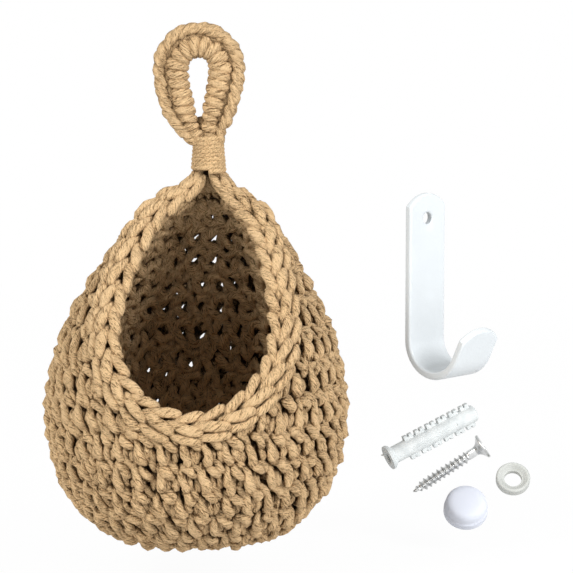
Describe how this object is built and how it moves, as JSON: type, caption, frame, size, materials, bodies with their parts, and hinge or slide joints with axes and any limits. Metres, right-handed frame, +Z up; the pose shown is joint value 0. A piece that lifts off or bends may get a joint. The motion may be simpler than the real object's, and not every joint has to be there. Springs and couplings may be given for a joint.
{
  "type": "hanging fruit basket",
  "caption": "Crocheted cord basket shaped like a teardrop, open at the front, on a wound hanging loop, with its wall hook, screw, plug, cup washer and cap.",
  "frame": {"origin": "hanging point: the inside top of the loop's eye, where a hook carries the basket", "axes": "+Z up, -Y towards the viewer and the basket's opening, +X to the viewer's right, towards the fixing kit"},
  "size_m": [0.248, 0.1531, 0.2673],
  "materials": {
    "cotton_cord": "matt twisted cotton cord",
    "white_powder_coat": "satin powder coat",
    "zinc_steel": "bright zinc plate",
    "translucent_plastic": "milky translucent moulding",
    "white_plastic": "glossy moulding"
  },
  "bodies": {
    "hanging_loop": {"loop_core": "cotton_cord", "loop_wraps": "cotton_cord", "loop_edge_chain": "cotton_cord", "neck_core": "cotton_cord", "neck_binding": "cotton_cord"},
    "basket": {"base_disc": "cotton_cord", "bowl_lower": "cotton_cord", "bowl_upper": "cotton_cord", "side_lower": "cotton_cord", "side_upper": "cotton_cord", "top_wall": "cotton_cord", "rim_chain_inner": "cotton_cord", "rim_chain_outer": "cotton_cord", "neck_gather": "cotton_cord"},
    "hook": {"wall_hook": "white_powder_coat"},
    "fixing_screw": {"screw": "zinc_steel"},
    "plug": {"wall_plug": "translucent_plastic"},
    "washer": {"cup_washer": "translucent_plastic"},
    "cap": {"screw_cap": "white_plastic"}
  },
  "joints": [
    {"name": "neck_flex", "type": "hinge", "parent": "hanging_loop", "child": "basket", "pos_m": [0.004, 0, -0.065], "axis": [1, 0, 0], "range_deg": [-35, 35], "deforming": ["neck_gather"]},
    {"name": "hook_lift", "type": "slide", "parent": "hanging_loop", "child": "hook", "axis": [0, -1, 0], "range_m": [0, 0.1]},
    {"name": "screw_lift", "type": "slide", "parent": "hanging_loop", "child": "fixing_screw", "axis": [0, -1, 0], "range_m": [0, 0.1]},
    {"name": "plug_lift", "type": "slide", "parent": "hanging_loop", "child": "plug", "axis": [0, -1, 0], "range_m": [0, 0.1]},
    {"name": "washer_lift", "type": "slide", "parent": "hanging_loop", "child": "washer", "axis": [0, -1, 0], "range_m": [0, 0.1]},
    {"name": "cap_lift", "type": "slide", "parent": "hanging_loop", "child": "cap", "axis": [0, -1, 0], "range_m": [0, 0.1]}
  ]
}
